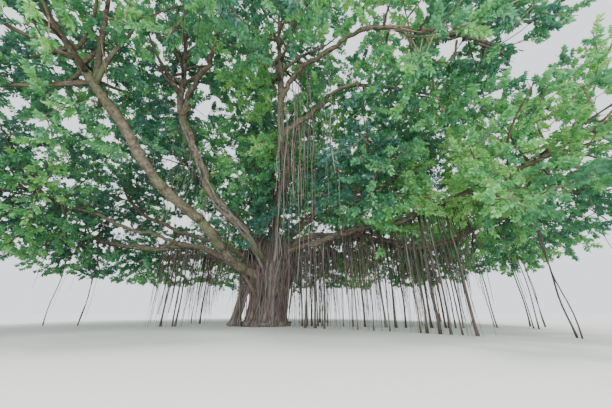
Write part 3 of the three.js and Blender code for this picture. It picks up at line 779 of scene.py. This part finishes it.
# the heavy wood inside a mass: its stem, and its fork where it has one
def massWood(index):
    name = massNames[index]
    start, along = feeding[name]["tip"], feeding[name]["along"]
    reach = reachInside(index, start[None], along[None], 9, 0.07)[0] * twigLook["stemShare"]
    wood = [(start, start + along * reach, feeding[name]["thin"])]
    if name in forks:
        at, heading, pitch, radius = forks[name]
        root = start + along * reach * at
        way = direction(heading, pitch)
        length = reachInside(index, root[None], way[None], twigLook["branchLength"], 0.12)[0]
        wood.append((root, root + way * length, radius))
    return wood


# the limbs that show, as places in the photograph, depths and half widths there
def shownLimbs():
    points, radii = [], []
    for name, first in openLimbs.items():
        share = np.linspace(first, 1, 60)
        points.append(boughs[name]["line"].at(share))
        radii.append(boughRadius(boughs[name], share))
    for name, last in openStems.items():
        for start, end, radius in massWood(massNames.index(name)):
            share = np.linspace(0, last, 40)
            points.append(start + (end - start) * share[:, None])
            radii.append(radius * (1 - 0.7 * share))
    spots, depth = framed(np.vstack(points))
    return spots, depth, photoView["focal"] * np.concatenate(radii) / depth


shownSpots, shownDepth, shownHalf = shownLimbs()


# false where a twig would close a gap to the sky or hang before a limb that shows
def leavesOpen(points):
    spots, depth = framed(points)
    clear = np.ones(len(points), bool)
    for x, y, size in skyGaps:
        clear &= np.hypot(spots[:, 0] - x, spots[:, 1] - y) > size + openMargin["gap"] / depth
    for block in np.array_split(np.arange(len(points)), max(len(points) // 2000, 1)):
        apart = np.hypot(*(spots[block, None] - shownSpots[None]).transpose(2, 0, 1))
        margin = shownHalf + openMargin["limb"] + openMargin["near"] / depth[block, None]
        before = (apart < margin) & (depth[block, None] < shownDepth - 0.1)
        clear[block] &= ~before.any(axis=1) | (rng.random(len(block)) < openMargin["stray"])
    return clear


# which points stay when none may come closer than a distance to an earlier one
def keptApart(points, distance):
    kept = []
    for index, point in enumerate(points):
        if not kept or np.linalg.norm(points[kept] - point, axis=1).min() > distance:
            kept.append(index)
    return np.array(kept)


# shoots, branches and twigs are lines of shape (count, 2, 3), from root to end

# shoots that reach from the wood for the parts of the space that are still bare
def fillingShoots(index, wood, taken):
    axes = np.array([massOut[index], massAcross[index], up])
    spots = massMiddle[index] + (uniform(-1, 1, (1500, 3)) * massHalf[index] * massSpread[index]) @ axes
    spots = spots[insideSpace(index, spots, 0.18) & outsideGaps(spots)]
    bare = np.linalg.norm(spots[:, None] - taken[None], axis=2).min(axis=1)
    lines = []
    for _ in range(twigLook["fill"]):
        furthest = np.argmax(bare)
        if bare[furthest] < twigLook["bare"]:
            break
        spot = spots[furthest]
        root = wood[np.linalg.norm(wood - spot, axis=1).argmin()]
        path = root + (spot - root) * np.linspace(0.25, 1, 6)[:, None]
        bare = np.minimum(bare, np.linalg.norm(spots[:, None] - path[None], axis=2).min(axis=1))
        if outsideGaps(path).mean() > 0.6:
            lines.append((root, spot))
            wood = np.vstack([wood, path])
    return np.reshape(lines, (-1, 2, 3))


def boughSprigs(bough):
    if bough["name"] not in sprigs:
        return np.empty((0, 2, 3))
    first, count = sprigs[bough["name"]]
    share = first + (1 - first) * (np.arange(count) + uniform(0, 1, count)) / count
    roots = bough["line"].at(share)
    ways = unit(normal(0, 1, (count, 3)) + bough["along"] * 0.5 - up * 0.15)
    lengths = twigLook["sprig"] * uniform(0.6, 1.3, count) + boughRadius(bough, share)
    ends = roots + ways * lengths[:, None]
    ends[:, 2] = np.maximum(ends[:, 2], crown["bottom"] + 0.1)
    return np.stack([roots, ends], 1)


# side shoots along straight parents: their roots, ways and parents, and how far along the parent each starts
def shoots(lines, spacing, firstShare, spread):
    rows = []
    lengths = np.linalg.norm(lines[:, 1] - lines[:, 0], axis=1)
    for index, ((start, end), length) in enumerate(zip(lines, lengths)):
        count = max(int(length * (1 - firstShare) / spacing), 1)
        share = firstShare + (1 - firstShare) * (np.arange(count) + uniform(0.3, 0.9, count)) / count
        along = (end - start) / length
        flat = unit(up * uniform(0.75, 1.2) + normal(0, 0.45, 3))
        sideways = unit(np.cross(along, flat))
        rise = np.cross(sideways, along)
        hand = np.where((np.arange(count) + index) % 2 == 0, 1.0, -1.0)
        roll = normal(0, 0.5, count)
        lean = np.radians(uniform(spread - 14, spread + 10, count))[:, None]
        out = hand[:, None] * np.cos(roll)[:, None] * sideways + np.sin(roll)[:, None] * rise
        ways = along * np.cos(lean) + out * np.sin(lean)
        rows.append((start + (end - start) * share[:, None], ways, np.full(count, index), share))
    return [np.concatenate(column) for column in zip(*rows)]


def bentPaths(lines, rings, bend):
    starts, spans = lines[:, :1], lines[:, 1:] - lines[:, :1]
    share = np.linspace(0, 1, rings)[None, :, None]
    length = np.linalg.norm(spans, axis=2)[:, None]
    side = normal(0, 1, (len(lines), 1, 3)) * bend * length
    wave = normal(0, 0.35, (len(lines), 1, 3)) * bend * length * np.sin(share * 2 * math.pi)
    return starts + spans * share + side * np.sin(share * math.pi) + wave


# leaves round each twig, in two folded halves with a drooping tip: the last few have six corners, the others four
def leafArrays(lines, simple, full, scale):
    starts, ends = lines[:, 0], lines[:, 1]
    twigs, perTwig = len(lines), simple + full
    share = np.linspace(0.08, 1.0, perTwig)[:, None] + uniform(-0.03, 0.03, (twigs, perTwig, 1))
    axis = unit(ends - starts)
    flat = unit(up + normal(0, 0.35, (twigs, 3)))
    sideways = unit(np.cross(axis, flat))
    rise = np.cross(sideways, axis)
    turn = np.arange(perTwig)[:, None] * goldenAngle + uniform(0, fullTurn, (twigs, 1, 1))
    out = np.cos(turn) * sideways[:, None] + 0.85 * np.sin(turn) * rise[:, None]
    ahead = 0.35 + 0.9 * share**3
    along = unit(out + axis[:, None] * ahead - up * 0.12 + normal(0, 0.12, (twigs, perTwig, 3)))
    facing = unit(up + normal(0, 0.75, (twigs, perTwig, 3)))
    across = unit(np.cross(facing, along))
    upFace = np.cross(along, across)
    root = starts[:, None] + (ends - starts)[:, None] * share
    length = leafLook["length"] * scale * uniform(0.7, 1.12, (twigs, perTwig, 1))
    width = across * (length * leafLook["width"] / leafLook["length"] / 2)
    fold = upFace * (length * leafLook["width"] / leafLook["length"] / 2 * leafLook["fold"] * 2)
    droop = upFace * (length * leafLook["droop"])
    low = root + along * length * 0.30 + fold - droop * 0.1
    middle = root + along * length * 0.42 + fold - droop * 0.2
    high = root + along * length * 0.68 + fold * 0.8 - droop * 0.5
    tip = root + along * length - droop
    fourCorners = [root, middle + width * 1.15, tip, middle - width * 1.15]
    sixCorners = [root, low + width, high + width * 0.85, tip, high - width * 0.85, low - width]
    simpleCorners = np.stack(fourCorners, 2)[:, :simple].reshape(-1, 3)
    fullCorners = np.stack(sixCorners, 2)[:, simple:].reshape(-1, 3)
    first = np.arange(twigs * simple)[:, None] * 4
    triangles = np.stack([first + [0, 2, 1], first + [0, 3, 2]], 1).reshape(-1, 3)
    first = np.arange(twigs * full)[:, None] * 6 + len(simpleCorners)
    quads = np.stack([first + [0, 3, 2, 1], first + [0, 5, 4, 3]], 1).reshape(-1, 4)
    return np.vstack([simpleCorners, fullCorners]), [triangles, quads]


# which green each spray takes, as painted light and shade: painted sunlit lime where the light comes through, painted
# shade deep and bluish in the thick of it, with a random spread
def sprayColours(points):
    x, y, z = points.T
    light = np.sin(x * 0.9 + 1.3) * np.sin(y * 0.8 + 0.4) + 0.7 * np.sin(x * 0.5 - z * 0.9 + 2)
    light += normal(0, 0.55, len(x))
    light += 0.6 * smoothstep(2, 8, x) * smoothstep(9, 6, z)
    light -= 0.5 * smoothstep(5, 10, x) * smoothstep(7, 10, z)
    light -= 0.4 * smoothstep(4, 9, -x)
    return np.digitize(light, [-1.15, -0.45, 0.25, 0.95, 1.75])


# the branches all round a mass's stem, with their ways and radii
def stemBranches(index, end):
    name = massNames[index]
    bough, skirt = feeding[name], twigLook["skirt"]
    along, start = bough["along"], bough["tip"]
    side = unit(np.cross(along, up))
    rise = np.cross(side, along)
    order = np.arange(twigLook["branches"])
    share = 0.04 + 0.92 * order / (len(order) - 1)
    turn = order * goldenAngle + index * 100
    lean = np.radians(between(68, 112, index * 100 + order * 10, 21) - 44 * share)
    ways = along * np.cos(lean)[:, None] + side * (np.sin(lean) * np.cos(turn))[:, None]
    ways += rise * (np.sin(lean) * np.sin(turn))[:, None]
    thickness = bough["thin"] * 0.62 * (1 - share) + 0.035 * share
    if massMiddle[index, 2] < 6:  # low masses have a skirt of level branches that droop at their ends
        ways = np.vstack([ways, [direction(heading, -9) for heading in np.arange(skirt) * 360 / skirt + index * 17]])
        share = np.append(share, uniform(0.03, 0.3, skirt))
        thickness = np.append(thickness, np.full(skirt, 0.038))
    if name in forks:
        at, heading, pitch, radius = forks[name]
        ways = np.vstack([ways, direction(heading, pitch)])
        share = np.append(share, at)
        thickness = np.append(thickness, radius)
    roots = start + (end - start) * share[:, None]
    reaches = reachInside(index, roots, ways, twigLook["branchLength"], 0.12)
    ends = roots + ways * (reaches - 0.35)[:, None]
    keep = (reaches > 0.7) & outsideGaps(ends) & outsideGaps((roots + ends) / 2)
    return np.stack([roots, ends], 1)[keep], ways[keep], thickness[keep]


# side shoots of the branches, a leafy end for each branch, and shoots into what is still bare
def sideShoots(index, branches, ways, wood):
    roots, alongs, _, shares = shoots(branches, twigLook["sideEvery"], 0.1, 56)
    room = reachInside(index, roots, alongs, 2.4, 0.1)
    wanted = twigLook["sideLength"] * (1 - 0.5 * shares) * uniform(0.65, 1.1, len(room))
    lengths = np.minimum(room - 0.15, wanted)
    sides = np.stack([roots, roots + alongs * lengths[:, None]], 1)[lengths > 0.25]
    sides = sides[keptApart(sides[:, 0] * 0.35 + sides[:, 1] * 0.65, twigLook["apart"])]
    leafyEnds = np.stack([branches[:, 1] - ways * 0.3, branches[:, 1] + ways * 0.2], 1)
    sides = np.vstack([sides, leafyEnds])
    sides = sides[outsideGaps(sides[:, 1]) & outsideGaps(sides.mean(axis=1))]
    taken = np.vstack([sides[:, 0] + (sides[:, 1] - sides[:, 0]) * share for share in (0.2, 0.6, 1.0)])
    return np.vstack([sides, fillingShoots(index, wood, taken)])


# the twigs that carry leaves; those of sprigs may leave the mass's space
def leafyTwigs(index, sides, ownShoots):
    roots, ways, parents, _ = shoots(sides, twigLook["twigEvery"], 0.12, 52)
    roots = np.vstack([roots, sides[:, 1]])
    ways = np.vstack([ways, unit(sides[:, 1] - sides[:, 0])])
    onSprig = np.append(parents, np.arange(len(sides))) >= ownShoots
    lengths = twigLook["twigLength"] * uniform(0.7, 1.15, len(roots))
    ends = roots + ways * lengths[:, None]
    keep = (insideSpace(index, ends, 0.08) | onSprig) & (ends[:, 2] < crown["top"] - twigLook["topRoom"])
    keep &= clearOfLimbs(roots) & clearOfLimbs(ends) & leavesOpen(ends) & leavesOpen((roots + ends) / 2)
    return np.stack([roots, ends], 1)[keep]


massBranches = {}


def growMass(index):
    name = massNames[index]
    bough = feeding[name]
    along, start, end = bough["along"], bough["tip"], massWood(index)[0][1]
    foot = start - along * 0.15
    stem = bentPaths(np.array([[foot, end]]), 16, 0.02)
    stem[:, 0], stem[:, 1] = foot, start + along * 0.02
    stemRadii = np.linspace(bough["thin"], 0.045, 16)[None]
    wood = [(*tubes(stem, stemRadii, 12, barkRelief(1, 16, 12, 0.07, 5)), 1)]
    branches, ways, thickness = stemBranches(index, end)
    massBranches[name] = branches
    branchPaths = bentPaths(branches, 8, 0.035)
    branchRadii = thickness[:, None] * np.linspace(1, 0.3, 8)
    wood.append((*tubes(branchPaths, branchRadii, 6, barkRelief(len(branches), 8, 6, 0.06, 3)), 1))
    sides = sideShoots(index, branches, ways, branchPaths.reshape(-1, 3))
    ownShoots = len(sides)
    sides = np.vstack([sides, boughSprigs(bough)])
    sideRadii = np.broadcast_to(np.linspace(0.02, 0.007, 3), (len(sides), 3))
    wood.append(tubes(bentPaths(sides, 3, 0.04), sideRadii, 3))
    twigs = leafyTwigs(index, sides, ownShoots)
    wood.append(cones(twigs, 0.008))
    vertices, faces, chosen = joined(wood)
    woodObject = makeObject("twigs." + name, vertices, faces, [bark["twigBark"], bark["boughBark"]], chosen)
    place(woodObject, "bark", "leaves_" + name)

    size = "finest" if name in wideMasses else "finer" if name in finerMasses else "usual"
    simple, full, scale = leafSizes[size]
    vertices, faces = leafArrays(twigs, simple, full, scale)
    # each spray's green is painted light or painted shade, by its place in the crown
    chosen = sprayColours((twigs[:, 0] + twigs[:, 1]) / 2)
    colours = np.concatenate([np.repeat(chosen, simple * 2), np.repeat(chosen, full * 2)])
    leaves = makeObject("leaves." + name, vertices, faces, leafMaterials, colours, smooth=False)
    place(leaves, "foliage", "leaves_" + name)
    return len(colours) // 2, sum(len(polygon.vertices) - 2 for polygon in woodObject.data.polygons)


leafTotal, twigTotal = np.sum([growMass(index) for index in range(len(massNames))], axis=0)
print("foliage grown:", leafTotal, "leaves,", twigTotal, "twig triangles")


# hanging roots

hanging = {  # bough, shares it hangs between, strands, those that reach the ground, and where the others end
    "right_near": ("right_long", 0.13, 0.28, 6, 5, 0.5, 1.7),
    "right_second": ("right_long", 0.33, 0.48, 6, 4, 0.5, 1.7),
    "right_third": ("right_long", 0.52, 0.67, 6, 5, 0.5, 1.7),
    "right_pillar": ("right_long", 0.72, 0.88, 6, 5, 0.5, 1.7),
    "right_front_near": ("right_front", 0.16, 0.34, 6, 4, 0.5, 1.7),
    "right_front_far": ("right_front", 0.42, 0.62, 6, 5, 0.5, 1.7),
    "right_front_edge": ("right_front", 0.7, 0.9, 6, 5, 0.5, 1.7),
    "left_low_bundle": ("left_low", 0.4, 0.52, 5, 3, 0.5, 1.5),
    "left_hanging_far": ("left_hanging", 0.5, 0.66, 5, 2, 0.5, 1.7),
    "back_left": ("back_left", 0.42, 0.6, 5, 4, 0.5, 1.7),
    "back_right": ("back_right", 0.42, 0.6, 5, 4, 0.5, 1.7),
    "right_back": ("right_back", 0.5, 0.68, 5, 4, 0.5, 1.7),
    "centre_long": ("centre_side", 0.16, 0.42, 5, 0, 2.3, 4.3),
}

rootLook = {
    "thin": 0.017, "thick": 0.040, "sway": 0.065, "rings": 13, "shades": [0.6, 0.22, 0.18],
    "fineCount": 58, "centreFine": 8, "fineThin": 0.006, "fineThick": 0.019, "fineRings": 9,
}


def hangingPath(top, endHeight, sway, rings):
    share = np.linspace(0, 1, rings)
    points = np.empty((rings, 3))
    points[:, 2] = top[2] + (endHeight - top[2]) * share
    for axis in (0, 1):
        lean = uniform(-sway, sway)
        wave = 0.35 * sway * np.sin(share * uniform(5, 11) + uniform(0, 6))
        points[:, axis] = top[axis] + lean * share + (wave - wave[0]) * np.minimum(share * 5, 1)
    return points


# thin aerial roots from other boughs: the shares they hang between, how many, and how low they end
drapes = {
    "front_rising": (0.35, 0.97, 16, 2.0, 6.0),
    "centre": (0.2, 0.97, 12, 0.6, 5.5),
    "centre_side": (0.05, 0.8, 6, 1.0, 4.5),
    "centre_cross": (0.1, 0.6, 10, 3.0, 6.5),
    "inner_front": (0.2, 0.9, 16, 0.5, 3.5),
    "upper_right": (0.12, 0.6, 16, 0.6, 4.5),
    "upper_left": (0.12, 0.6, 12, 1.5, 4.5),
    "left_great": (0.25, 0.7, 6, 1.5, 4.0),
    "left_middle": (0.15, 0.7, 12, 1.0, 3.5),
    "left_low": (0.12, 0.4, 22, 0.2, 2.2),
    "left_hanging": (0.12, 0.48, 16, 0.2, 2.0),
}


def drapedRoots():
    share = np.linspace(0, 1, rootLook["rings"])
    for name, (first, last, count, lowest, highest) in drapes.items():
        for _ in range(count):
            top = underside(boughs[name], uniform(first, last))
            end = uniform(lowest, highest)
            if end <= top[2] - 0.6:
                yield hangingPath(top, end, 0.14, len(share)), uniform(0.007, 0.020) * (1 - 0.5 * share)


# roots from the branches inside a mass, out beyond the bough: the mass, how many, how many rooted
fringes = {
    "right_pillar": ("right_low", 14, 8),
    "right_front_edge": ("right_front_low", 5, 2),
    "right_third": ("right_low_back", 10, 5),
    "left_hanging_far": ("left_low", 8, 3),
}


def fringeRoots(name):
    massName, count, rooted = fringes[name]
    low = massBranches[massName]
    low = low[np.argsort(low[:, 0, 2] + low[:, 1, 2])[:7]]
    share = np.linspace(0, 1, rootLook["rings"])
    for index in range(count):
        start, end = rng.choice(low)
        top = start + (end - start) * uniform(0.2, 0.85)
        toGround = index < rooted
        endHeight = 0 if toGround else uniform(0.3, 2.4)
        path = hangingPath(top, endHeight, 0.1, len(share))
        radius = uniform(0.012, 0.030) if toGround else uniform(0.007, 0.016)
        yield path, radius * (1 + 0.6 * np.exp(-(1 - share) * 16) if toGround else 1 - 0.5 * share)


# roots from one bough, each a few strands twined together, that reach the ground or end above it
def twinedRoots(name, seed):
    boughName, first, last, count, grounded, lowest, highest = hanging[name]
    share = np.linspace(0, 1, rootLook["rings"])
    for index in range(count):
        number = seed * 20 + index
        top = underside(boughs[boughName], first + (last - first) * (index + 0.5) / count)
        toGround = (index * 3 + seed) % count < grounded
        end = 0 if toGround else between(lowest, highest, number, 4)
        radius = between(rootLook["thin"], rootLook["thick"], number, 5)
        fused = 4 if toGround else 2
        for strand in range(fused):
            path = hangingPath(top, end, rootLook["sway"], len(share))
            middle = path if strand == 0 else middle
            turn = strand * fullTurn / fused + share * uniform(1, 4)
            apart = radius * 0.62 * (1 + (0.9 * np.exp(-(1 - share) * 14) if toGround else 0))
            foot = 1 + (0.5 * np.exp(-(1 - share) * 16) if toGround else -0.5 * share)
            yield middle + winding(turn, apart), radius * uniform(0.5, 0.75) * foot


def fineRoots(name):
    boughName, first, last, _, _, lowest, highest = hanging[name]
    for _ in range(rootLook["centreFine" if name == "centre_long" else "fineCount"]):
        top = underside(boughs[boughName], uniform(max(first - 0.05, 0.08), min(last + 0.05, 0.97)))
        top = top + np.append(uniform(-0.1, 0.1, 2), 0)
        end = max(uniform(lowest - 1.6, highest + 1.0), 0)
        if end <= top[2] - 0.5:
            path = hangingPath(top, end, 0.12, rootLook["fineRings"])
            radius = uniform(rootLook["fineThin"], rootLook["fineThick"])
            yield path, radius * np.linspace(1, 0.4, rootLook["fineRings"])


def growHanging(name, seed):
    twined, fine = list(twinedRoots(name, seed)), list(fineRoots(name))
    parts = [strandTubes(twined, 5, 0.13, rootLook["shades"]), strandTubes(fine, 3, 0.13, rootLook["shades"])]
    if name == "centre_long":
        parts.append(strandTubes(drapedRoots(), 4, 0.13, [0.3, 0.35, 0.35]))
    if name in fringes:
        parts.append(strandTubes(fringeRoots(name), 5, 0.13, [0.55, 0.25, 0.2]))
    vertices, faces, chosen = joined(parts)
    shades = [bark[shade] for shade in ("darkRoot", "redRoot", "greyRoot")]
    obj = makeObject("hangingRoots." + name, onGround(vertices), faces, shades, chosen)
    place(obj, "hanging_root", "roots_" + name)


for seed, name in enumerate(hanging):
    growHanging(name, seed)
print("hanging roots grown:", len(hanging))


# floor, light and camera

studio = {
    "floor": (0.72, 0.72, 0.70), "floorHalf": 150, "sky": (0.90, 0.95, 1.0), "skyStrength": 1.6, "sun": 2.7,
    "fill": 8000,
}


def buildStudio():
    floorMaterial, _, shader, _ = newMaterial("paleFloor")
    wire(shader, {"Base Color": (*studio["floor"], 1), "Roughness": 0.9})
    corners = np.array([(-1, -1, 0), (1, -1, 0), (1, 1, 0), (-1, 1, 0)]) * studio["floorHalf"] - up * 0.002
    floor = makeObject("floor", corners, [np.array([[0, 1, 2, 3]])], [floorMaterial], smooth=False)
    world = bpy.data.worlds.new("softSky")
    world.use_nodes = True
    background = world.node_tree.nodes["Background"]
    background.inputs["Color"].default_value = (*studio["sky"], 1)
    background.inputs["Strength"].default_value = studio["skyStrength"]
    bpy.context.scene.world = world
    sun = bpy.data.objects.new("sun", bpy.data.lights.new("sun", "SUN"))
    sun.data.energy = studio["sun"]
    sun.data.angle = math.radians(12)
    sun.data.color = (1.0, 0.97, 0.9)
    sun.rotation_euler = (math.radians(28), math.radians(22), 0)
    fill = bpy.data.objects.new("fill", bpy.data.lights.new("fill", "AREA"))
    fill.data.energy = studio["fill"]
    fill.data.size = 12
    fill.location = (3, -24, 4)
    fill.rotation_euler = (math.radians(95), 0, 0)
    fill.visible_camera = False
    for light in (sun, fill):
        bpy.context.scene.collection.objects.link(light)


def placeCamera():
    camera = bpy.data.objects.new("camera", bpy.data.cameras.new("camera"))
    camera.location = photoView["place"]
    camera.rotation_euler = (math.radians(90 + photoView["pitch"]), 0, 0)
    camera.data.sensor_width = 36
    camera.data.lens = photoView["focal"] / 612 * 36
    bpy.context.scene.collection.objects.link(camera)
    bpy.context.scene.camera = camera


buildStudio()
placeCamera()
print("studio ready")
